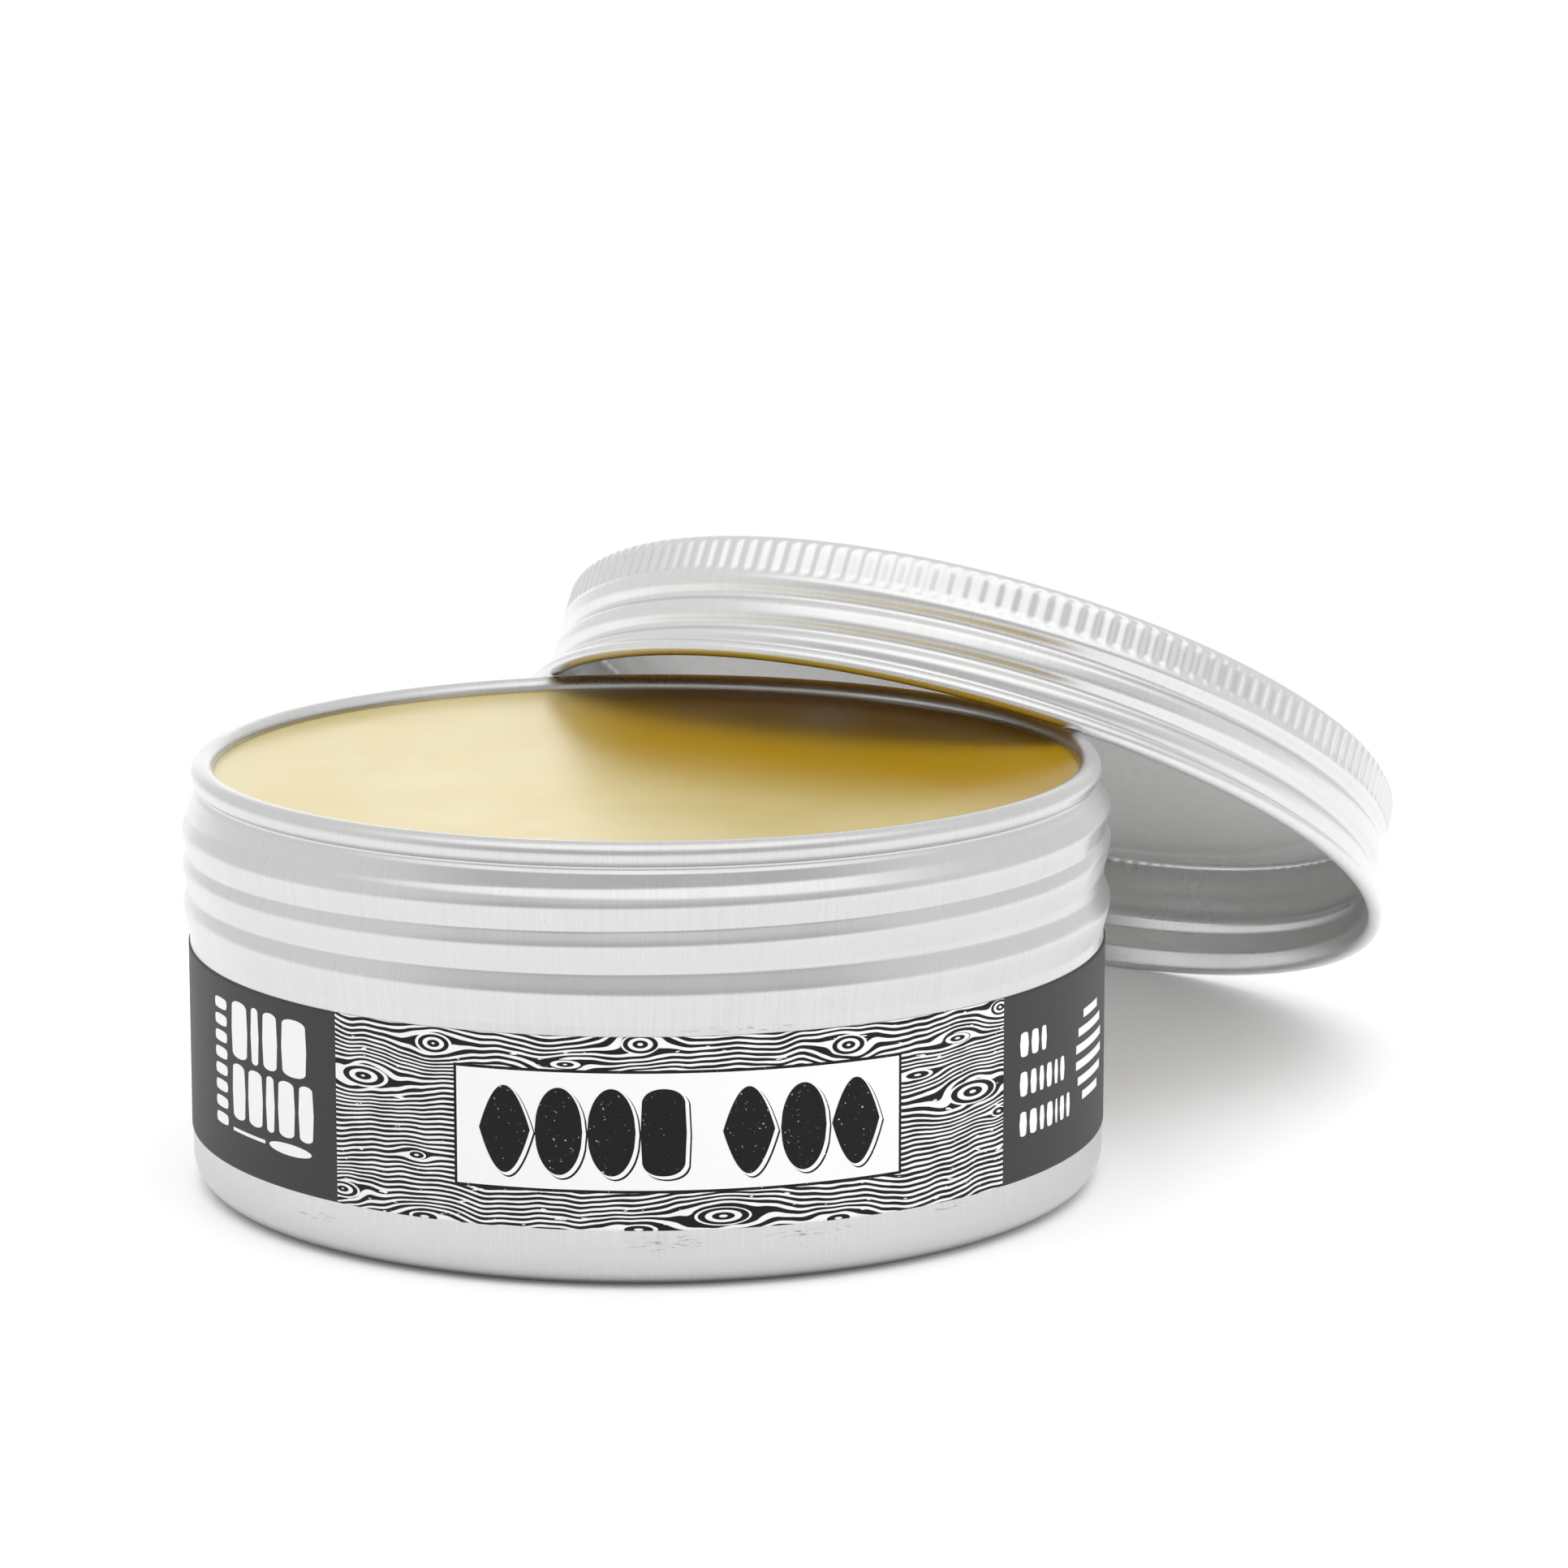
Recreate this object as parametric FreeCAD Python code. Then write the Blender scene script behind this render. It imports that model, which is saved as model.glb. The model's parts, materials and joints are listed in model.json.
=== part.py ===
import FreeCAD, Part
import math
import os

# Open screw-top tin of wax with its lid leaning on it.  Millimetres, +Z up.
# The tin's axis is the Z axis, the label faces -Y, the base stands on z = 0.

# ---- tin -------------------------------------------------------------------
RIM_TOP_Z = 37.7          # top of the rolled rim
WALL_R = 40.5             # straight wall under the label
WALL_T = 0.4              # sheet thickness
BASE_CORNER_R = 2.8       # radius between wall and base
BASE_PANEL_R = 35.0       # raised panel in the middle of the base
BASE_PANEL_Z = 0.6
STOP_BEAD_Z = 25.0        # wide level bead the lid stops above
STOP_BEAD_R = 41.1
THREAD_ROOT_R = 40.45
NECK_R = 39.75            # necked wall just under the rim
CURL_CENTRE_R = 39.15     # rolled rim, an upright oval in section
CURL_HALF_WIDTH = 1.0
CURL_HALF_HEIGHT = 1.1

# ---- thread on the tin -----------------------------------------------------
THREAD_PITCH = 3.2
THREAD_START_Z = 28.05    # crest height where the thread begins, at the back
THREAD_TURNS = 1.7
THREAD_WIDTH = 2.2
THREAD_CREST_R = 41.05

# ---- wax -------------------------------------------------------------------
WAX_TOP_Z = 35.3

# ---- label -----------------------------------------------------------------
LABEL_BOTTOM_Z = 5.2
LABEL_TOP_Z = 21.6
LABEL_T = 0.1
LABEL_SEAM_DEG = 3.0      # bare strip left where the ends nearly meet, at the back

# ---- lid, in its own frame with its open edge on z = 0 ----------------------
LID_HEIGHT = 12.85
LID_R = 41.45
LID_T = 0.3
LID_TOP_CORNER_R = 1.4
LID_CURL_R = 0.75         # rolled open edge, round in section
LID_CURL_OUTER_R = 43.0
KNURL_COUNT = 168
KNURL_BOTTOM = 8.8
KNURL_TOP = 11.3
KNURL_DEPTH = 0.22
LID_THREAD_PITCH = 3.0
LID_THREAD_START = 3.3    # height of the groove where it begins
LID_THREAD_TURNS = 1.45
LID_GROOVE_WIDTH = 1.7
LID_GROOVE_DEPTH = 0.5
LID_RIDGE_WIDTH = 2.2

# ---- liner in the lid ------------------------------------------------------
LINER_R = 40.6
LINER_T = 1.0
LINER_GAP = 0.3           # air between liner and lid

# ---- how the lid leans ------------------------------------------------------
LEAN_AZIMUTH = 57.8       # direction the lid lies in, from +X towards +Y
LEAN_TILT = 30.67
LEAN_REACH = 54.8         # lid centre from the tin's axis, in plan
LEAN_LIFT = 0.0           # clearance under the lid's low edge


def vec(radius, height):
    return FreeCAD.Vector(radius, 0, height)


def revolve(start, steps):
    """Solid of revolution.  A step is (end,) for a line or (middle, end) for an arc."""
    edges = []
    here = start
    for step in steps:
        end = step[-1]
        if len(step) == 1:
            edges.append(Part.makeLine(vec(*here), vec(*end)))
        else:
            edges.append(Part.Arc(vec(*here), vec(*step[0]), vec(*end)).toShape())
        here = end
    if math.dist(here, start) > 1e-6:
        edges.append(Part.makeLine(vec(*here), vec(*start)))
    face = Part.Face(Part.Wire(edges))
    return face.revolve(FreeCAD.Vector(0, 0, 0), FreeCAD.Vector(0, 0, 1), 360)


def oval_ring(centre_r, centre_z, half_r, half_z):
    """Ring whose section is an upright or lying oval."""
    major = max(half_r, half_z)
    minor = min(half_r, half_z)
    ellipse = Part.Ellipse(FreeCAD.Vector(0, 0, 0), major, minor)
    edge = ellipse.toShape()
    edge.rotate(FreeCAD.Vector(0, 0, 0), FreeCAD.Vector(1, 0, 0), 90)
    if half_z > half_r:
        edge.rotate(FreeCAD.Vector(0, 0, 0), FreeCAD.Vector(0, 1, 0), 90)
    edge.translate(vec(centre_r, centre_z))
    face = Part.Face(Part.Wire([edge]))
    return face.revolve(FreeCAD.Vector(0, 0, 0), FreeCAD.Vector(0, 0, 1), 360)


def helical_rib(root_r, crest_r, width, pitch, start_z, turns, start_deg):
    """Rounded rib wound round the Z axis, standing from root_r to crest_r."""
    path = Part.Wire(Part.makeLongHelix(pitch, pitch * turns, root_r).Edges)
    half = width / 2
    back = root_r - 0.3 * (crest_r - root_r)
    low = vec(back, -half)
    high = vec(back, half)
    arc = Part.Arc(low, vec(crest_r, 0), high).toShape()
    section = Part.Wire([arc, Part.makeLine(high, low)])
    rib = path.makePipeShell([section], True, True)
    rib.rotate(FreeCAD.Vector(0, 0, 0), FreeCAD.Vector(0, 0, 1), start_deg)
    rib.translate(FreeCAD.Vector(0, 0, start_z))
    return rib


def tin_inner_steps():
    """Inside of the tin, from the rim down to the middle of the floor."""
    inner_r = WALL_R - WALL_T
    inner_corner = BASE_CORNER_R - WALL_T
    corner_r = WALL_R - BASE_CORNER_R
    bend = inner_corner * math.sqrt(0.5)
    floor_z = BASE_PANEL_Z + WALL_T
    return [((NECK_R - WALL_T, RIM_TOP_Z - 2.4),),
            ((inner_r - 0.2, 33.7), (inner_r, 32.6)),
            ((inner_r, BASE_CORNER_R),),
            ((corner_r + bend, BASE_CORNER_R - bend), (corner_r, WALL_T)),
            ((BASE_PANEL_R + WALL_T, WALL_T),),
            ((BASE_PANEL_R - 0.4, floor_z),),
            ((0, floor_z),)]


def make_tin():
    corner_r = WALL_R - BASE_CORNER_R
    bend = BASE_CORNER_R * math.sqrt(0.5)
    curl_z = RIM_TOP_Z - CURL_HALF_HEIGHT
    outer = [((BASE_PANEL_R, BASE_PANEL_Z),),
             ((BASE_PANEL_R + 0.6, 0),),
             ((corner_r, 0),),
             ((corner_r + bend, BASE_CORNER_R - bend), (WALL_R, BASE_CORNER_R)),
             ((WALL_R, STOP_BEAD_Z - 2.3),),
             ((STOP_BEAD_R, STOP_BEAD_Z), (THREAD_ROOT_R, STOP_BEAD_Z + 1.9)),
             ((THREAD_ROOT_R, 33.3),),
             ((THREAD_ROOT_R - 0.25, 34.5), (NECK_R, RIM_TOP_Z - 2.3)),
             ((NECK_R, curl_z),),
             ((NECK_R - WALL_T, curl_z),)]
    shell = revolve((0, BASE_PANEL_Z), outer + tin_inner_steps())
    curl = oval_ring(CURL_CENTRE_R, curl_z, CURL_HALF_WIDTH, CURL_HALF_HEIGHT)
    thread = helical_rib(THREAD_ROOT_R, THREAD_CREST_R, THREAD_WIDTH, THREAD_PITCH,
                         THREAD_START_Z, THREAD_TURNS, 90)
    return shell.fuse([curl, thread]).removeSplitter()


def make_wax():
    fill = revolve((0, WAX_TOP_Z), [((NECK_R - WALL_T, WAX_TOP_Z),)] + tin_inner_steps()[1:])
    return fill


def make_label():
    inner = Part.makeCylinder(WALL_R, LABEL_TOP_Z - LABEL_BOTTOM_Z,
                              FreeCAD.Vector(0, 0, LABEL_BOTTOM_Z), FreeCAD.Vector(0, 0, 1),
                              360 - LABEL_SEAM_DEG)
    outer = Part.makeCylinder(WALL_R + LABEL_T, LABEL_TOP_Z - LABEL_BOTTOM_Z,
                              FreeCAD.Vector(0, 0, LABEL_BOTTOM_Z), FreeCAD.Vector(0, 0, 1),
                              360 - LABEL_SEAM_DEG)
    sleeve = outer.cut(inner)
    sleeve.rotate(FreeCAD.Vector(0, 0, 0), FreeCAD.Vector(0, 0, 1), 90 + LABEL_SEAM_DEG / 2)
    return sleeve


def knurl_band():
    """Ring of upright ribs round the lid, each rib a shallow arc."""
    valley_r = LID_R - KNURL_DEPTH
    step = 2 * math.pi / KNURL_COUNT
    edges = []
    for index in range(KNURL_COUNT):
        a0 = index * step
        a1 = a0 + 0.3 * step
        a2 = a0 + 0.65 * step
        a3 = a0 + step
        valley_a = FreeCAD.Vector(valley_r * math.cos(a0), valley_r * math.sin(a0), 0)
        valley_b = FreeCAD.Vector(valley_r * math.cos(a1), valley_r * math.sin(a1), 0)
        crest = FreeCAD.Vector(LID_R * math.cos(a2), LID_R * math.sin(a2), 0)
        valley_c = FreeCAD.Vector(valley_r * math.cos(a3), valley_r * math.sin(a3), 0)
        edges.append(Part.makeLine(valley_a, valley_b))
        edges.append(Part.Arc(valley_b, crest, valley_c).toShape())
    outer = Part.Face(Part.Wire(edges))
    ribs = outer.extrude(FreeCAD.Vector(0, 0, KNURL_TOP - KNURL_BOTTOM))
    core = Part.makeCylinder(valley_r - 0.1, KNURL_TOP - KNURL_BOTTOM)
    ribs = ribs.cut(core)
    ribs.translate(FreeCAD.Vector(0, 0, KNURL_BOTTOM))
    return ribs


def make_lid():
    band_r = LID_R - KNURL_DEPTH
    inner_r = band_r - LID_T
    corner_r = LID_R - LID_TOP_CORNER_R
    corner_z = LID_HEIGHT - LID_TOP_CORNER_R
    bend = LID_TOP_CORNER_R * math.sqrt(0.5)
    curl_r = LID_CURL_OUTER_R - LID_CURL_R
    outer = [((corner_r, LID_HEIGHT),),
             ((corner_r + bend, corner_z + bend), (LID_R, corner_z)),
             ((LID_R, KNURL_TOP),),
             ((band_r, KNURL_TOP - 0.1),),
             ((band_r, KNURL_BOTTOM + 0.1),),
             ((LID_R, KNURL_BOTTOM),),
             ((LID_R + 0.1, 8.4), (LID_R, 8.0)),
             ((LID_R, 2.5),),
             ((LID_R - 0.25, 2.05), (LID_R, 1.6)),
             ((curl_r, LID_CURL_R),),
             ((curl_r - 0.45, LID_CURL_R),),
             ((LID_R - LID_T, 2.0),),
             ((LID_R - LID_T, 8.4),),
             ((inner_r, 9.2),),
             ((inner_r, corner_z),),
             ((corner_r + bend - 0.3, corner_z + bend - 0.3),
              (corner_r - 0.3, LID_HEIGHT - LID_T)),
             ((0, LID_HEIGHT - LID_T),)]
    shell = revolve((0, LID_HEIGHT), outer)
    curl = oval_ring(curl_r, LID_CURL_R, LID_CURL_R, LID_CURL_R * 0.999)
    ridge_root = LID_R - LID_T
    ridge = helical_rib(ridge_root, ridge_root - LID_GROOVE_DEPTH, LID_RIDGE_WIDTH,
                        LID_THREAD_PITCH, LID_THREAD_START, LID_THREAD_TURNS, 180)
    groove = helical_rib(LID_R, LID_R - LID_GROOVE_DEPTH, LID_GROOVE_WIDTH,
                         LID_THREAD_PITCH, LID_THREAD_START, LID_THREAD_TURNS, 180)
    shell = shell.fuse([curl, ridge])
    shell = shell.cut(groove)
    return shell.fuse(knurl_band())


def make_liner():
    top = LID_HEIGHT - LID_T - LINER_GAP
    return Part.makeCylinder(LINER_R, LINER_T, FreeCAD.Vector(0, 0, top - LINER_T))


def lean(shape):
    """Carry a shape from the lid's own frame to where the lid leans on the tin."""
    placed = shape.copy()
    azimuth = math.radians(LEAN_AZIMUTH)
    tilt = math.radians(LEAN_TILT)
    across = FreeCAD.Vector(-math.sin(azimuth), math.cos(azimuth), 0)
    placed.rotate(FreeCAD.Vector(0, 0, 0), across, LEAN_TILT)
    curl_r = LID_CURL_OUTER_R - LID_CURL_R
    low_edge = curl_r * math.sin(tilt) + LID_CURL_R - LID_CURL_R * math.cos(tilt)
    placed.translate(FreeCAD.Vector(LEAN_REACH * math.cos(azimuth),
                                    LEAN_REACH * math.sin(azimuth), low_edge + LEAN_LIFT))
    return placed


parts = {
    "tin_body": make_tin(),
    "wax_fill": make_wax(),
    "label": make_label(),
    "lid_shell": lean(make_lid()),
    "lid_liner": lean(make_liner()),
}

os.makedirs("parts", exist_ok=True)
for node, shape in parts.items():
    if shape.ShapeType == "Compound" and len(shape.Solids) == 1:
        shape = shape.Solids[0]
    shape.exportStep("parts/" + node + ".step")
    box = shape.BoundBox
    print(node, len(shape.Solids), "solid", shape.isValid(), round(shape.Volume, 1),
          [round(v, 2) for v in (box.XMin, box.YMin, box.ZMin, box.XMax, box.YMax, box.ZMax)])
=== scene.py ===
import json
import math

import bpy
import numpy as np
from mathutils import Matrix, Vector


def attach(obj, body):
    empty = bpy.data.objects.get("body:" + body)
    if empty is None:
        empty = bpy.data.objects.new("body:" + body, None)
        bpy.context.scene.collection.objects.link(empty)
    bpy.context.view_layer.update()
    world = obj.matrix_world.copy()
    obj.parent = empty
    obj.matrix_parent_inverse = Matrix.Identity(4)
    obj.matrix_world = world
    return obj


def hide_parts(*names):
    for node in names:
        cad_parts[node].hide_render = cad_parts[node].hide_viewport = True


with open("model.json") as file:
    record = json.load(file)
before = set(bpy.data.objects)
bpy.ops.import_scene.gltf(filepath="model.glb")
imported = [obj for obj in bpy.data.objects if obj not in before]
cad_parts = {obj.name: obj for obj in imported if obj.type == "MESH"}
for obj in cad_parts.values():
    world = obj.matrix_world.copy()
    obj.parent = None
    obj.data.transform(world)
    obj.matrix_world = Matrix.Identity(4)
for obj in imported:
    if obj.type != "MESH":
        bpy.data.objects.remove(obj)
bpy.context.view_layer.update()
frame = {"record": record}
MM = 0.001

# Sizes in millimetres, matching the CAD part, but the wax, which here climbs 1.1 mm further up the curl.
WALL_R = 40.5
WALL_IN_R = 39.36
BASE_CORNER_R = 2.8
BASE_PANEL_Z = 0.6
CURL_R = 39.15
CURL_Z = 36.6
CURL_HALF = (1.0, 1.1)
ROLL_DEPTH = 0.64
BEAD_Z = (26.75, 25.15, 22.6)           # top, crest and foot of the stop bead
THREAD_PITCH = 3.2
THREAD_START = 29.10
WAX_TOP = 36.4
WAX_EDGE = 38.2                         # where the curl hides the wax
WAX_R = 39.3
LABEL_Z = (5.2, 21.6)
LABEL_R = 40.6
LABEL_SWEEP = 357
LABEL_YAW = math.radians(4.0)
LID_HEIGHT = 12.85
LID_R = 41.45
LID_T = 0.3
LID_CORNER_R = 1.4
LID_BEAD_R = 0.75
LID_THREAD_PITCH = 3.0
LID_GROOVE_DEPTH = 0.50
KNURLS = 168


# ---- small helpers ----------------------------------------------------------

def smooth(low, high, x):
    """0 below low, 1 above high, an S curve between."""
    t = np.clip((x - low) / (high - low), 0, 1)
    return t * t * (3 - 2 * t)


def line(start, end, count):
    """Points from start to just before end."""
    t = np.linspace(0, 1, count, endpoint=False)[:, None]
    return np.array(start) * (1 - t) + np.array(end) * t


def arc(centre, radii, first, last, count):
    """Points on an oval arc, angles in degrees, from first to just before last."""
    a = np.radians(np.linspace(first, last, count, endpoint=False))
    return np.stack([centre[0] + radii[0] * np.cos(a), centre[1] + radii[1] * np.sin(a)], 1)


def turned_piece(name, profile, columns, shape=None, fill_start=False, fill_end=False, sweep=360):
    """Mesh turned round Z from (radius, height) rows in millimetres.

    shape(r, z, angle) may move each point; angles start at -Y, the front, and grow to the right.
    A UV map called wrap holds millimetres round the wall and along the profile.
    """
    whole = sweep == 360
    stops = columns if whole else columns + 1
    angle = np.radians(np.linspace(-sweep / 2, sweep / 2, columns + 1))[:stops]
    r, a = np.meshgrid(profile[:, 0], angle, indexing="ij")
    z, a = np.meshgrid(profile[:, 1], angle, indexing="ij")
    if shape:
        r, z = shape(r, z, a)
    points = np.stack([r * np.sin(a), -r * np.cos(a), z], -1).reshape(-1, 3) * MM
    rows = len(profile)
    i, j = np.meshgrid(np.arange(rows - 1), np.arange(columns), indexing="ij")
    k = (j + 1) % stops
    quads = np.stack([i * stops + j, i * stops + k, (i + 1) * stops + k, (i + 1) * stops + j], -1)
    faces = quads.reshape(-1, 4).tolist()
    run = np.concatenate([[0], np.cumsum(np.linalg.norm(np.diff(profile, axis=0), axis=1))])
    wrap_r = np.maximum(profile[:, 0], 1.0)
    step = math.radians(sweep / columns)
    left = math.radians(-sweep / 2) + j * step
    corners = [(left, i), (left + step, i), (left + step, i + 1), (left, i + 1)]
    uv = np.stack([np.stack([c * wrap_r.max(), run[row]], -1) for c, row in corners], 2)
    uv = uv.reshape(-1, 2).tolist()
    points = points.tolist()
    for wanted, row in ((fill_start, 0), (fill_end, rows - 1)):
        if wanted:
            points.append((0.0, 0.0, float(np.mean([points[row * stops + c][2] for c in range(stops)]))))
            for c in range(columns):
                ring = [row * stops + c, row * stops + (c + 1) % stops]
                faces.append([len(points) - 1] + (ring[::-1] if row == 0 else ring))
                uv += [(c * step * wrap_r.max(), run[row])] * 3
    mesh = bpy.data.meshes.new(name)
    mesh.from_pydata(points, [], faces)
    layer = mesh.uv_layers.new(name="wrap")
    layer.data.foreach_set("uv", np.array(uv, dtype=np.float32).ravel())
    mesh.polygons.foreach_set("use_smooth", [True] * len(mesh.polygons))
    mesh.update()
    piece = bpy.data.objects.new(name, mesh)
    bpy.context.scene.collection.objects.link(piece)
    return piece


# ---- node helpers -----------------------------------------------------------

class Nodes:
    """A material's node tree with short names for the nodes used here."""

    def __init__(self, name):
        self.material = bpy.data.materials.new(name)
        self.material.use_nodes = True
        self.tree = self.material.node_tree
        self.shader = self.tree.nodes["Principled BSDF"]

    def put(self, socket, value):
        if isinstance(value, bpy.types.NodeSocket):
            self.tree.links.new(value, socket)
        else:
            socket.default_value = value

    def set(self, **values):
        for key, value in values.items():
            self.put(self.shader.inputs[key.replace("_", " ")], value)

    def math(self, operation, *values):
        node = self.tree.nodes.new("ShaderNodeMath")
        node.operation = operation
        for index, value in enumerate(values):
            self.put(node.inputs[index], value)
        return node.outputs[0]

    def mix(self, factor, first, second):
        node = self.tree.nodes.new("ShaderNodeMix")
        node.data_type = "RGBA"
        self.put(node.inputs[0], factor)
        self.put(node.inputs[6], first)
        self.put(node.inputs[7], second)
        return node.outputs[2]

    def span(self, value, low, high, out_low=0.0, out_high=1.0):
        node = self.tree.nodes.new("ShaderNodeMapRange")
        node.interpolation_type = "SMOOTHSTEP"
        for index, item in enumerate((value, low, high, out_low, out_high)):
            self.put(node.inputs[index], item)
        return node.outputs[0]

    def wrap(self):
        """Millimetres round the wall and along the profile."""
        node = self.tree.nodes.new("ShaderNodeUVMap")
        node.uv_map = "wrap"
        return node.outputs[0]

    def place(self):
        return self.tree.nodes.new("ShaderNodeTexCoord").outputs["Object"]

    def split(self, vector):
        node = self.tree.nodes.new("ShaderNodeSeparateXYZ")
        self.put(node.inputs[0], vector)
        return node.outputs

    def join(self, x, y, z=0.0):
        node = self.tree.nodes.new("ShaderNodeCombineXYZ")
        for index, value in enumerate((x, y, z)):
            self.put(node.inputs[index], value)
        return node.outputs[0]

    def scaled(self, vector, x, y, z=1.0):
        node = self.tree.nodes.new("ShaderNodeVectorMath")
        node.operation = "MULTIPLY"
        self.put(node.inputs[0], vector)
        node.inputs[1].default_value = (x, y, z)
        return node.outputs[0]

    def noise(self, vector, scale, detail=2.0, rough=0.5, distort=0.0):
        node = self.tree.nodes.new("ShaderNodeTexNoise")
        self.put(node.inputs["Vector"], vector)
        self.put(node.inputs["Scale"], scale)
        self.put(node.inputs["Detail"], detail)
        self.put(node.inputs["Roughness"], rough)
        self.put(node.inputs["Distortion"], distort)
        return node.outputs["Fac"]

    def bump(self, height, strength, distance):
        node = self.tree.nodes.new("ShaderNodeBump")
        self.put(node.inputs["Strength"], strength)
        self.put(node.inputs["Distance"], distance)
        self.put(node.inputs["Height"], height)
        self.put(self.shader.inputs["Normal"], node.outputs[0])
        return node.outputs[0]


# ---- materials --------------------------------------------------------------

def aluminium(name, tone, roughness, brushing, scuffs=(), shaded_top_reach=None):
    """Satin drawn sheet: fine lines along the wall, faint clouds, rubbed specks and scuffed places, with
    painted shade on the flat top face and a painted contact shadow at the foot.

    scuffs holds (place round the wall, height, half width, half height) in millimetres.
    The last argument is how far along the profile, in millimetres, painted shade darkens the flat top face.
    """
    n = Nodes(name)
    wrap = n.wrap()
    lines = n.noise(n.scaled(wrap, 7.0, 0.12), 1.0, 3.0, 0.6)
    fine = n.noise(n.scaled(wrap, 22.0, 0.35), 1.0, 2.0, 0.5)
    clouds = n.noise(n.scaled(wrap, 0.10, 0.22), 1.0, 3.0, 0.55)
    specks = n.span(n.noise(n.scaled(wrap, 1.6, 0.9), 1.0, 3.0, 0.62), 0.715, 0.75)
    grain = n.math("ADD", n.math("MULTIPLY", lines, 0.65), n.math("MULTIPLY", fine, 0.35))
    light = (tone, tone, tone * 0.995, 1)
    soft = (tone * 0.93, tone * 0.93, tone * 0.925, 1)
    colour = n.mix(n.span(grain, 0.35, 0.65), light, soft)
    colour = n.mix(n.math("MULTIPLY", specks, 0.35), colour, (0.30, 0.30, 0.29, 1))
    rough = n.math("ADD", n.span(clouds, 0.3, 0.7, roughness * 0.9, roughness * 1.12),
                   n.math("MULTIPLY", grain, 0.05))
    if shaded_top_reach:
        # Painted shade: the flat top face is darkened in soft streaks.
        top_shade_streaks = n.noise(n.scaled(n.place(), 60.0, 900.0, 900.0), 1.0, 3.0, 0.6)
        face = n.span(n.split(wrap)[1], shaded_top_reach - 0.6, shaded_top_reach + 0.4, 1.0, 0.0)
        top_shade = n.span(top_shade_streaks, 0.3, 0.7, 0.34, 0.42)
        colour = n.mix(n.math("MULTIPLY", face, top_shade), colour, (0.26, 0.26, 0.26, 1))
    if scuffs:
        around = n.split(wrap)[0]
        height = n.math("MULTIPLY", n.split(n.place())[2], 1000.0)
        scratch = n.span(n.noise(n.scaled(wrap, 0.9, 5.5), 1.0, 4.0, 0.7), 0.53, 0.62)
        for u, z, half_u, half_z in scuffs:
            du = n.math("DIVIDE", n.math("SUBTRACT", around, u), half_u)
            dz = n.math("DIVIDE", n.math("SUBTRACT", height, z), half_z)
            far = n.math("ADD", n.math("MULTIPLY", du, du), n.math("MULTIPLY", dz, dz))
            worn = n.math("MULTIPLY", n.span(far, 0.2, 1.0, 1.0, 0.0), scratch)
            colour = n.mix(n.math("MULTIPLY", worn, 0.8), colour, (0.27, 0.26, 0.24, 1))
        # Painted contact shadow: the foot of the wall darkens toward the floor.
        foot_contact_shadow = n.span(height, 0.25, 0.95, 0.85, 0.0)
        colour = n.mix(foot_contact_shadow, colour, (0.10, 0.10, 0.095, 1))
    n.set(Base_Color=colour, Metallic=1.0, Roughness=rough)
    n.bump(grain, brushing, 0.00002)
    return n.material


def wax_material():
    """Set amber wax: glows a little inside, soft gloss on top with casting marks."""
    n = Nodes("wax_amber")
    place = n.place()
    clouds = n.noise(place, 45.0, 3.0, 0.5)
    swirl = n.noise(n.scaled(place, 60.0, 25.0, 60.0), 1.0, 2.0, 0.5, 0.6)
    pores = n.noise(place, 900.0, 2.0, 0.5)
    marks = n.span(n.noise(n.scaled(place, 260.0, 60.0, 1.0), 1.0, 3.0, 0.6), 0.62, 0.74)
    deep = (0.46, 0.360, 0.115, 1)
    pale = (0.51, 0.420, 0.175, 1)
    colour = n.mix(n.span(clouds, 0.3, 0.7), deep, pale)
    # Painted shade: deeper amber at the back right, where the lid shades the wax.
    x, y, _ = n.split(place)
    toward_lid = n.math("ADD", n.math("MULTIPLY", x, 0.6), y)
    lid_shade_amber = n.span(n.math("ADD", toward_lid, n.math("MULTIPLY", clouds, 0.012)), -0.010, 0.020)
    lid_shade_amber = n.math("MULTIPLY", lid_shade_amber, n.span(x, -0.014, 0.002))
    n.set(Base_Color=n.mix(lid_shade_amber, colour, (0.34, 0.200, 0.0, 1)),
          Roughness=n.span(swirl, 0.3, 0.7, 0.19, 0.25),
          Subsurface_Weight=0.30, Subsurface_Scale=0.003, IOR=1.38, Specular_IOR_Level=0.3)
    n.shader.inputs["Subsurface Radius"].default_value = (1.0, 0.6, 0.12)
    height = n.math("ADD", n.math("MULTIPLY", swirl, 0.7), n.math("MULTIPLY", pores, 0.05))
    height = n.math("ADD", height, n.math("MULTIPLY", marks, 0.10))
    n.bump(height, 0.22, 0.0002)
    return n.material


# Knots in the printed grain: place in mm on the label, half width, half height, number of rings.
KNOTS = [(-21.2, 15.1, 1.7, 0.90, 2.0), (-9.7, 14.1, 1.5, 0.42, 1.4), (-3.5, 15.9, 1.6, 0.85, 2.0),
         (14.2, 14.9, 1.7, 0.90, 2.0), (25.2, 14.0, 1.5, 0.45, 1.4), (-28.2, 11.5, 2.6, 0.95, 2.0),
         (-22.9, 5.4, 0.9, 0.36, 1.0), (27.0, 9.1, 2.9, 1.05, 2.0), (3.3, 1.2, 2.4, 0.80, 2.0),
         (-3.7, 0.2, 1.6, 0.45, 1.0), (-30.6, 1.4, 1.9, 0.75, 2.0), (-22.2, 0.2, 1.5, 0.45, 1.0),
         (20.9, 11.5, 1.6, 0.40, 1.0), (30.3, 6.8, 1.0, 0.42, 1.0), (30.4, 15.8, 1.3, 0.70, 2.0),
         (13.3, 0.2, 1.4, 0.45, 1.0)]
PANEL_U = (-31.2, 30.9)
GRAIN_PERIOD = 0.46


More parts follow.
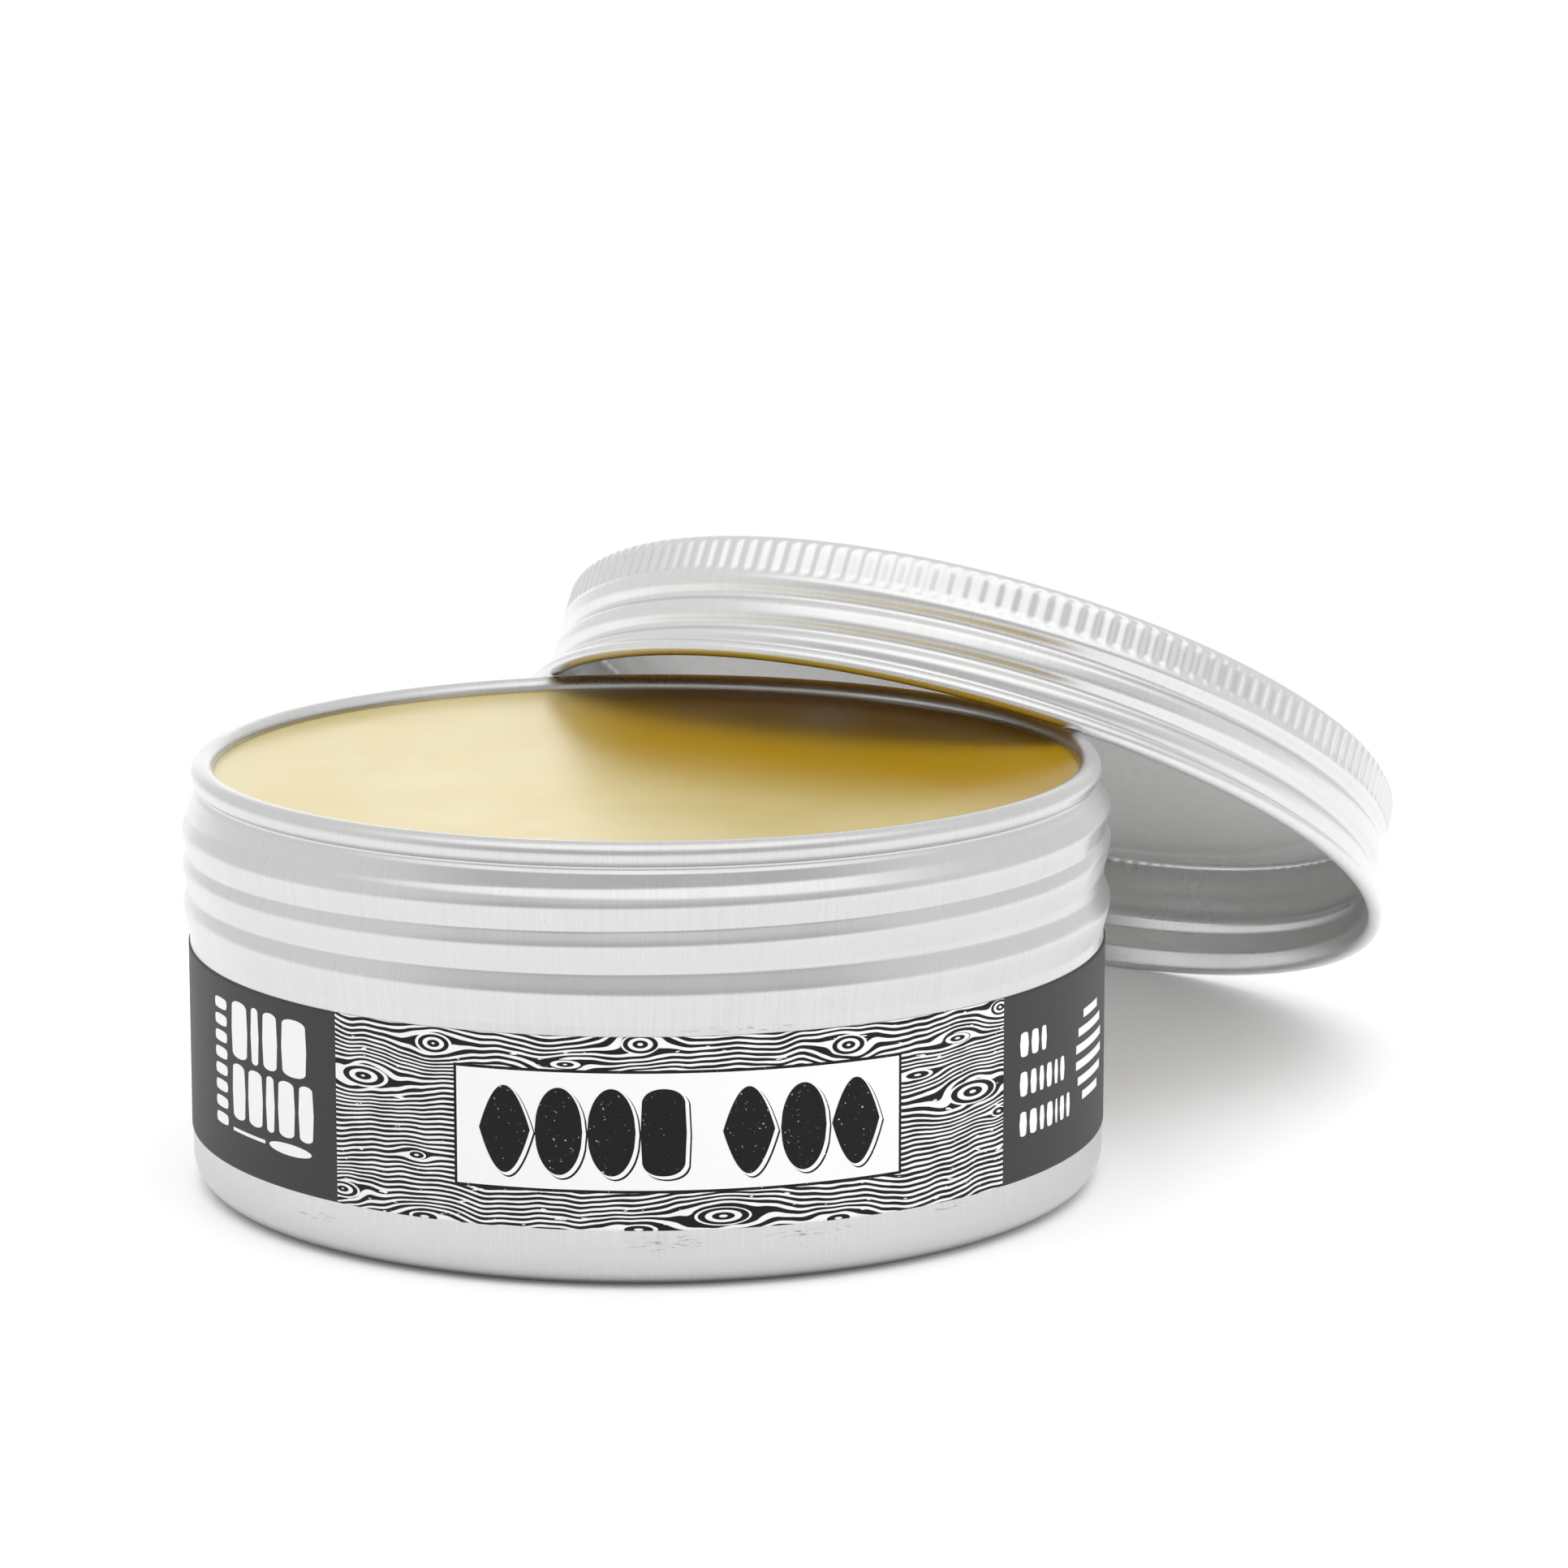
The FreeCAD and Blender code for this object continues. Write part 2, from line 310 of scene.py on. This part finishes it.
def label_material():
    """Matt printed paper: charcoal all round, with a white panel of black wood-grain line art."""
    n = Nodes("label_print")
    u, v, _ = n.split(n.wrap())
    slow = n.noise(n.join(n.math("MULTIPLY", u, 0.075), n.math("MULTIPLY", v, 0.035)), 1.0, 1.0, 0.4)
    quick = n.noise(n.join(n.math("MULTIPLY", u, 0.28), n.math("MULTIPLY", v, 0.10)), 1.0, 1.0, 0.4)
    bend = n.math("ADD", n.math("MULTIPLY", slow, 4.0), n.math("MULTIPLY", quick, 0.9))
    field = n.math("ADD", v, bend)
    weight = n.noise(n.join(n.math("MULTIPLY", u, 0.4), n.math("MULTIPLY", v, 0.9)), 1.0, 2.0, 0.5)
    level = n.span(weight, 0.3, 0.7, -0.42, 0.06)
    shake = n.math("MULTIPLY", n.math("SUBTRACT", slow, 0.5), 0.3)
    eyes = None
    for place_u, place_v, half_u, half_v, rings in KNOTS:
        du = n.math("DIVIDE", n.math("SUBTRACT", u, place_u), half_u)
        dv = n.math("DIVIDE", n.math("SUBTRACT", v, place_v), half_v)
        far = n.math("ADD", n.math("MULTIPLY", du, du), n.math("MULTIPLY", dv, dv))
        # Outside the knot the lines bend round it: all the height is taken out at its edge.
        beyond = n.math("SUBTRACT", n.math("MAXIMUM", far, 1.0), 1.0)
        fade = n.math("EXPONENT", n.math("MULTIPLY", beyond, -0.30))
        field = n.math("SUBTRACT", field, n.math("MULTIPLY", n.math("MULTIPLY", dv, half_v * 0.92), fade))
        ring = n.math("ADD", n.math("SQRT", far), shake)
        ring = n.math("COSINE", n.math("MULTIPLY", ring, 2 * math.pi * rings))
        inside = n.math("LESS_THAN", far, 1.0)
        eye = n.math("MULTIPLY", inside, n.span(n.math("MULTIPLY", ring, -1.0), -0.25, 0.15))
        eyes = (inside, eye) if eyes is None else (n.math("MAXIMUM", eyes[0], inside),
                                                   n.math("MAXIMUM", eyes[1], eye))
    wave = n.math("SINE", n.math("MULTIPLY", field, 2 * math.pi / GRAIN_PERIOD))
    ink = n.span(n.math("SUBTRACT", wave, level), -0.16, 0.16)
    breaks = n.span(n.noise(n.join(n.math("MULTIPLY", u, 0.55), n.math("MULTIPLY", v, 2.4), 5.0),
                            1.0, 2.0, 0.5), 0.675, 0.70)
    ink = n.math("MULTIPLY", ink, n.math("SUBTRACT", 1.0, breaks))
    ink = n.math("ADD", n.math("MULTIPLY", ink, n.math("SUBTRACT", 1.0, eyes[0])), eyes[1])
    white = (0.80, 0.80, 0.795, 1)
    black = (0.007, 0.007, 0.008, 1)
    fibre = n.noise(n.scaled(n.wrap(), 6.0, 6.0), 1.0, 3.0, 0.6)
    charcoal = n.mix(n.span(fibre, 0.3, 0.7), (0.034, 0.034, 0.036, 1), (0.050, 0.050, 0.053, 1))
    grain = n.mix(ink, white, black)
    panel = n.math("MULTIPLY", n.math("GREATER_THAN", u, PANEL_U[0]), n.math("LESS_THAN", u, PANEL_U[1]))
    n.set(Base_Color=n.mix(panel, charcoal, grain), Roughness=n.span(fibre, 0.3, 0.7, 0.48, 0.60),
          Specular_IOR_Level=0.18)
    n.bump(fibre, 0.15, 0.00003)
    return n.material


def ink_material(name, colour, worn, wear):
    """Printed ink with small worn-away flecks."""
    n = Nodes(name)
    place = n.place()
    flecks = n.span(n.noise(place, 3400.0, 3.0, 0.65), 0.675, 0.705)
    fibre = n.noise(place, 6000.0, 2.0, 0.6)
    n.set(Base_Color=n.mix(n.math("MULTIPLY", flecks, wear), colour, worn),
          Roughness=n.span(fibre, 0.3, 0.7, 0.48, 0.62), Specular_IOR_Level=0.18)
    n.bump(fibre, 0.1, 0.00002)
    return n.material


def foil_material():
    """Foil-faced board: satin grey, fine pressed grain, and painted amber bounce light and shade from the
    wax toward the raised edge.
    """
    n = Nodes("liner_foil")
    place = n.place()
    ripple = n.noise(place, 40.0, 2.0, 0.5)
    grain = n.noise(place, 1400.0, 3.0, 0.6)
    foil = n.mix(n.span(grain, 0.3, 0.7), (0.82, 0.82, 0.81, 1), (0.88, 0.88, 0.87, 1))
    blotch = n.math("MULTIPLY", n.noise(place, 160.0, 3.0, 0.55), 0.004)
    # Painted amber bounce light and shade from the wax, stronger toward the raised edge.
    amber_bounce_shade = n.span(n.math("ADD", n.split(place)[2], blotch), 0.0395, 0.0430)
    n.set(Base_Color=n.mix(n.math("MULTIPLY", amber_bounce_shade, 0.95), foil, (0.46, 0.25, 0.012, 1)),
          Metallic=0.0, Roughness=n.span(ripple, 0.3, 0.7, 0.42, 0.50))
    n.bump(n.math("ADD", n.math("MULTIPLY", ripple, 0.3), n.math("MULTIPLY", grain, 0.04)), 0.10, 0.0003)
    return n.material


# ---- tin --------------------------------------------------------------------

def roll(depth, top, peak, bottom, z):
    """A rolled-out ridge: leans out from top to peak, falls back to bottom, softly rounded."""
    out = depth * (top - z) / (top - peak)
    back = depth * (z - bottom) / (peak - bottom)
    blend = 0.11
    low = np.minimum(out, back) - blend * np.log1p(np.exp(-np.abs(out - back) / blend))
    return np.clip(low + 0.004, 0, None)


def tin_wall(r, z, angle):
    """Rolls the stop bead, the screw thread and the neck into the upper wall."""
    turn = angle / (2 * math.pi)
    zone = (z > 22.2) & (z < 35.5) & (r > 40.0)
    bead = roll(ROLL_DEPTH, *BEAD_Z, z)
    jog = 0.35 * smooth(0.185, 0.20, turn) * (1 - smooth(0.22, 0.48, turn))
    thread = np.zeros_like(z)
    for winding in (0, 1):
        along = turn + 0.5 + winding
        crease = THREAD_START + THREAD_PITCH * along + jog
        fade = smooth(0.0, 0.12, along) * (1 - smooth(1.70, 1.98, along))
        thread = np.maximum(thread, fade * roll(ROLL_DEPTH, crease, crease - 1.45, crease - 3.75, z))
    root = 40.45 - 0.62 * np.clip((z - 33.3) / 1.9, 0, 1) - 0.25 * smooth(35.15, 35.42, z)
    creased = root + np.maximum(bead, thread)
    return np.where(zone, creased, r), z


tin_profile = np.concatenate([
    line((0.4, BASE_PANEL_Z), (34.6, BASE_PANEL_Z), 6),
    arc((34.6, 0.3), (0.5, 0.3), 90, 0, 3),
    arc((35.6, 0.3), (0.5, 0.3), 180, 270, 3),
    line((35.6, 0.0), (WALL_R - BASE_CORNER_R, 0.0), 2),
    arc((WALL_R - BASE_CORNER_R, BASE_CORNER_R), (BASE_CORNER_R, BASE_CORNER_R), -90, 0, 12),
    line((WALL_R, BASE_CORNER_R), (WALL_R, 22.25), 10),
    line((WALL_R, 22.25), (WALL_R, 35.45), 90),
    arc((CURL_R, CURL_Z), CURL_HALF, -66, 238, 36),
    line((38.75, 35.55), (39.32, 35.2), 3),
    line((39.34, 35.2), (WALL_IN_R, 33.0), 3),
])
tin = turned_piece("tin_sheet", tin_profile, 448, tin_wall, fill_start=True)
tin.data.materials.append(aluminium("tin_aluminium", 0.62, 0.27, 0.35, [
    (7.5, 22.05, 6.5, 0.30), (1.5, 4.1, 4.2, 0.8), (14.0, 4.4, 5.0, 0.35), (-31.0, 3.6, 3.0, 0.5),
    (27.0, 4.6, 3.2, 0.30)]))
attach(tin, "tin")
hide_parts("tin_body")


# ---- wax --------------------------------------------------------------------

def wax_surface(r, z, angle):
    """Set wax: climbs a little at the wall, dips a little in the middle, soft ripples."""
    top = z > 30
    x, y = r * np.sin(angle), -r * np.cos(angle)
    wave = 0.035 * np.sin(x * 0.16 + 0.7) * np.cos(y * 0.13 - 0.4) + 0.012 * np.sin(x * 0.41 - y * 0.3)
    wall = 0.18 * np.exp((np.minimum(r, WAX_EDGE) - WAX_EDGE) / 0.8)
    dimples = np.zeros_like(z)
    for px, py, size, depth in ((-9.6, -23.0, 1.6, 0.05), (-8.4, -30.5, 1.1, 0.04), (14.0, -8.0, 2.6, 0.03)):
        dimples = dimples + depth * np.exp(-((x - px) ** 2 + (y - py) ** 2) / size ** 2)
    lifted = z - 0.15 * (1 - (r / WAX_EDGE) ** 2) + wave * (r < 38) + wall - dimples
    return r, np.where(top, np.minimum(lifted, WAX_TOP + 0.1), z)


wax_profile = np.concatenate([
    line((0.3, WAX_TOP), (37.0, WAX_TOP), 74),
    line((37.0, WAX_TOP), (38.7, WAX_TOP), 10),
    line((38.7, WAX_TOP - 0.3), (WAX_R, WAX_TOP - 1.5), 3),
    line((WAX_R, WAX_TOP - 1.5), (WAX_R, 2.9), 6),
    arc((37.0, 2.9), (2.3, 2.3), 0, -90, 6),
    line((37.0, 1.1), (0.3, 1.1), 6),
])
wax = turned_piece("wax_body", wax_profile, 256, wax_surface, fill_start=True, fill_end=True)
wax.data.materials.append(wax_material())
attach(wax, "tin")
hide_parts("wax_fill")


# ---- label ------------------------------------------------------------------

low, high = LABEL_Z
label_profile = np.array([(WALL_R + 0.01, low), (LABEL_R, low + 0.02), (LABEL_R, low + 0.3),
                          (LABEL_R, (low + high) / 2), (LABEL_R, high - 0.3), (LABEL_R, high - 0.02),
                          (WALL_R + 0.01, high)])
label = turned_piece("label_wrap", label_profile, 238, sweep=LABEL_SWEEP)
label.data.transform(Matrix.Rotation(LABEL_YAW, 4, "Z"))
label.data.materials.append(label_material())
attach(label, "tin")
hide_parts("label")


def printed(name, shapes, lift, material):
    """Thin printed shapes on the label.  Each shape is (left, right, low(u), high(u)) in mm."""
    points, faces = [], []
    for left, right, bottom, top in shapes:
        count = max(3, int((right - left) / 0.12))
        for index in range(count + 1):
            u = left + (right - left) * index / count
            angle = u / LABEL_R + LABEL_YAW
            radius = LABEL_R + lift
            for v in (bottom(u), top(u)):
                points.append((radius * math.sin(angle) * MM, -radius * math.cos(angle) * MM,
                               (low + v) * MM))
            if index:
                last = len(points) - 4
                faces.append((last, last + 2, last + 3, last + 1))
    mesh = bpy.data.meshes.new(name)
    mesh.from_pydata(points, [], faces)
    mesh.polygons.foreach_set("use_smooth", [True] * len(faces))
    piece = bpy.data.objects.new(name, mesh)
    bpy.context.scene.collection.objects.link(piece)
    mesh.materials.append(material)
    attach(piece, "tin")
    return piece


def block(left, right, bottom, top):
    return (left, right, lambda u: bottom, lambda u: top)


def seed(left, right, bottom, top, power):
    """A filled upright shape, from pointed (power 1) to a full oval (power 0.5) to a bar (0.2)."""
    middle, half = (left + right) / 2, (right - left) / 2
    centre, tall = (bottom + top) / 2, (top - bottom) / 2

    def reach(u):
        return tall * max(0.0, 1 - ((u - middle) / half) ** 2) ** power

    return (left, right, lambda u: centre - reach(u), lambda u: centre + reach(u))


TITLE = (-19.1, 19.0, 3.45, 13.35)      # left, right, bottom, top of the title panel
ORNAMENT = [(-17.1, 4.4, 1.0), (-12.3, 4.0, 0.5), (-7.9, 4.0, 0.5), (-3.5, 3.8, 0.16),
            (3.3, 4.4, 1.0), (8.2, 4.0, 0.5), (12.7, 4.4, 1.0)]


def ornament(shift_u, shift_v, grow):
    """The title ornament: two groups of bold seed, oval and bar shapes."""
    return [seed(left + shift_u - grow, left + width + shift_u + grow, 4.65 + shift_v - grow,
                 12.05 + shift_v + grow, power) for left, width, power in ORNAMENT]


left, right, bottom, top = TITLE
side_marks = []
for row_low, row_high, bars in (
        (9.9, 14.9, ((-46.2, 2.9), (-42.7, 1.3), (-40.8, 2.2), (-38.0, 3.3))),
        (4.5, 9.4, ((-46.2, 2.4), (-43.3, 2.4), (-40.4, 1.3), (-38.6, 2.3), (-35.8, 1.9)))):
    for start, width in bars:
        side_marks.append(seed(start, start + width, row_low, row_high, 0.10))
for row in range(8):
    side_marks.append(seed(-49.9, -47.2, 3.4 + 1.45 * row, 4.4 + 1.45 * row, 0.16))
side_marks.append(block(-46.2, -40.6, 3.35, 3.65))
side_marks.append(seed(-40.0, -34.2, 3.0, 4.0, 0.5))
for row_low, bars in ((10.75, (1.3, 1.2, 0.9)), (7.3, (1.2, 1.0, 0.8, 1.0, 0.7, 0.9)),
                      (3.8, (1.1, 1.2, 0.8, 1.1, 0.5, 0.9, 0.8))):
    start = 33.2
    for width in bars:
        side_marks.append(seed(start, start + width, row_low, row_low + 2.15, 0.14))
        start += width + 0.42
for level in range(6):
    height = -3.9 + 1.45 * level
    reach = math.sqrt(4.5 ** 2 - (height + 0.35) ** 2) - 0.2
    side_marks.append(block(47.8 - reach, 47.8 + reach, 8.4 + height, 9.15 + height))

paper_white = ink_material("ink_white", (0.80, 0.80, 0.795, 1), (0.66, 0.66, 0.66, 1), 0.4)
ink_black = ink_material("ink_black", (0.007, 0.007, 0.008, 1), (0.70, 0.70, 0.70, 1), 0.85)
printed("title_border", [block(left - 0.25, right + 0.25, bottom - 0.25, top + 0.25)], 0.006, ink_black)
printed("title_panel", [block(left, right, bottom, top)], 0.012, paper_white)
printed("title_shadow", ornament(0.34, -0.30, 0.10), 0.018, ink_black)
printed("title_gap", ornament(0.22, -0.18, 0.08), 0.024, paper_white)
printed("title_ornament", ornament(0.0, 0.0, 0.0), 0.030, ink_black)
printed("side_print", side_marks, 0.008, paper_white)


# ---- lid --------------------------------------------------------------------

joints = {joint["name"]: joint for joint in frame["record"]["behaviour"]["joints"]}
lid_axis = Vector(joints["lid_turn"]["axis"])
lid_spot = Vector(joints["lid_turn"]["pos_m"])
LEAN = Matrix.Translation(lid_spot) @ Vector((0, 0, 1)).rotation_difference(lid_axis).to_matrix().to_4x4()


def lid_wall(r, z, angle):
    """Presses the grip ribs and the thread groove into the lid, inside and out."""
    turn = angle / (2 * math.pi)
    grip = smooth(8.75, 9.2, z) * (1 - smooth(11.7, 12.35, z)) * (r > 40.75)
    wave = np.cos(KNURLS * angle)
    press = np.where(r > 41.3 - np.clip(z - 11.4, 0, 1.2), 0.10, 0.02)
    r = r - press * grip * (1 - np.sign(wave) * np.abs(wave) ** 0.7)
    groove = np.zeros_like(z)
    for winding in (0, 1):
        along = turn + 0.5 + winding
        height = 2.48 + LID_THREAD_PITCH * along
        drop = z - height
        width = np.where(drop > 0, 1.15, 0.9)
        fade = smooth(0.10, 0.30, along) * (1 - smooth(1.62, 1.85, along))
        dip = 0.5 * (1 + np.cos(np.pi * np.clip(drop / width, -1, 1)))
        groove = np.maximum(groove, LID_GROOVE_DEPTH * fade * dip)
    wall = (z > 1.4) & (z < 8.7) & (r > 40.9)
    return np.where(wall, r - groove, r), z


def lid_shoulder(z):
    """Outer radius of the plain wall by height."""
    swell = 0.12 * np.exp(-((z - 8.35) / 0.35) ** 2)
    nip = 0.22 * np.exp(-((z - 2.0) / 0.3) ** 2)
    return LID_R + swell - nip


wall_z = np.concatenate([np.linspace(11.45, 8.8, 8), np.linspace(8.7, 1.7, 27)])
outer_wall = np.stack([lid_shoulder(wall_z), wall_z], 1)
inner_wall = np.stack([lid_shoulder(wall_z[::-2]) - LID_T, wall_z[::-2]], 1)
corner = (40.05, 11.45)
lid_profile = np.concatenate([
    line((0.4, LID_HEIGHT), (39.2, LID_HEIGHT), 4),
    line((39.2, LID_HEIGHT), (corner[0], LID_HEIGHT), 1),
    arc(corner, (LID_CORNER_R, LID_CORNER_R), 90, 0, 14),
    outer_wall,
    arc((42.25, LID_BEAD_R), (LID_BEAD_R, LID_BEAD_R), 128, -200, 15),
    inner_wall,
    arc((40.0, 11.45), (1.1, 1.1), 0, 90, 4),
    line((40.0, LID_HEIGHT - LID_T), (0.4, LID_HEIGHT - LID_T), 4),
])
lid = turned_piece("lid_sheet", lid_profile, 1008, lid_wall, fill_start=True, fill_end=True)
lid.data.transform(LEAN)
lid.data.materials.append(aluminium("lid_aluminium", 0.70, 0.27, 0.25, shaded_top_reach=40.0))
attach(lid, "lid")
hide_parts("lid_shell")

liner_low, liner_high = LID_HEIGHT - LID_T - 1.3, LID_HEIGHT - LID_T - 0.3
liner_profile = np.concatenate([
    line((0.4, liner_low), (36.8, liner_low), 10),
    arc((37.4, liner_low), (0.6, 0.06), 180, 0, 8),
    line((38.0, liner_low), (40.35, liner_low), 3),
    arc((40.35, liner_low + 0.25), (0.25, 0.25), -90, 0, 4),
    arc((40.35, liner_high - 0.25), (0.25, 0.25), 0, 90, 4),
    line((40.35, liner_high), (0.4, liner_high), 4),
])
liner = turned_piece("liner_disc", liner_profile, 192, fill_start=True, fill_end=True)
liner.data.transform(LEAN)
liner.data.materials.append(foil_material())
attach(liner, "liner")
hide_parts("lid_liner")


# ---- stage, light, camera ---------------------------------------------------

bpy.ops.mesh.primitive_grid_add(x_subdivisions=2, y_subdivisions=2, size=16, location=(0, 3, 0))
floor = bpy.context.active_object
floor.name = "studio_floor"
paper = Nodes("floor_white")
paper.set(Base_Color=(0.93, 0.93, 0.93, 1), Roughness=0.6)
paper.shader.inputs["Specular IOR Level"].default_value = 0.2
paper.shader.inputs["Emission Color"].default_value = (1, 1, 1, 1)
paper.shader.inputs["Emission Strength"].default_value = 0.07
floor.data.materials.append(paper.material)


def area_light(name, spot, aim, size, power):
    data = bpy.data.lights.new(name, "AREA")
    data.shape = "RECTANGLE"
    data.size, data.size_y = size
    data.energy = power
    lamp = bpy.data.objects.new(name, data)
    lamp.location = spot
    lamp.rotation_euler = (Vector(aim) - Vector(spot)).to_track_quat("-Z", "Y").to_euler()
    bpy.context.scene.collection.objects.link(lamp)
    return lamp


# Soft boxes light the table and the print; the metal mirrors only the room.
for name, spot, size, power in (("top_light", (0.05, 0.10, 1.3), (1.6, 1.6), 5.5),
                                ("left_back_light", (-1.1, 1.2, 0.8), (1.1, 1.1), 2.0),
                                ("fill_light", (1.1, -1.0, 0.55), (1.2, 0.9), 4.5)):
    area_light(name, spot, (0, 0, 0.02), size, power).visible_glossy = False

world = bpy.data.worlds.new("studio_world")
bpy.context.scene.world = world
world.use_nodes = True
sky = world.node_tree
background = sky.nodes["Background"]


def sky_node(kind, values, **settings):
    node = sky.nodes.new(kind)
    for key, value in settings.items():
        setattr(node, key, value)
    for index, value in enumerate(values):
        if isinstance(value, bpy.types.NodeSocket):
            sky.links.new(value, node.inputs[index])
        else:
            node.inputs[index].default_value = value
    return node.outputs[0]


def sky_math(operation, first, second):
    return sky_node("ShaderNodeMath", (first, second), operation=operation)


def sky_ramp(value, low, high, start=0.0, end=1.0):
    return sky_node("ShaderNodeMapRange", (value, low, high, start, end), interpolation_type="SMOOTHSTEP")


ray = sky.nodes.new("ShaderNodeSeparateXYZ")
sky.links.new(sky.nodes.new("ShaderNodeTexCoord").outputs["Generated"], ray.inputs[0])
ray_y, ray_z = ray.outputs[1], ray.outputs[2]
# The sweep behind the object is brightest, then the soft box high in front; low in front is dim.
sweep = sky_math("MULTIPLY", sky_ramp(ray_y, 0.84, 0.94), sky_ramp(ray_z, 0.45, 0.75, 0.55, 0.0))
high = sky_math("MULTIPLY", sky_ramp(ray_y, 0.20, -0.30), sky_ramp(ray_z, 0.58, 0.70, 0.0, 0.55))
low = sky_math("MULTIPLY", sky_ramp(ray_y, -0.30, -0.80), sky_ramp(ray_z, 0.50, 0.62, -0.36, 0.0))
strength = sky_math("ADD", sky_math("ADD", sweep, high), sky_math("ADD", low, 0.97))
sky.links.new(strength, background.inputs["Strength"])
background.inputs["Color"].default_value = (1.0, 1.0, 1.0, 1)

bpy.context.scene.view_settings.view_transform = "Standard"

camera_data = bpy.data.cameras.new("camera")
camera_data.lens = 128.85
camera_data.sensor_width = 36
camera = bpy.data.objects.new("camera", camera_data)
camera.location = (0.0, -0.48717, 0.13056)
aim = Vector((0.0122, 0.0033, 0.03405))
camera.rotation_euler = (aim - camera.location).to_track_quat("-Z", "Y").to_euler()
bpy.context.scene.collection.objects.link(camera)
bpy.context.scene.camera = camera

bpy.context.view_layer.update()
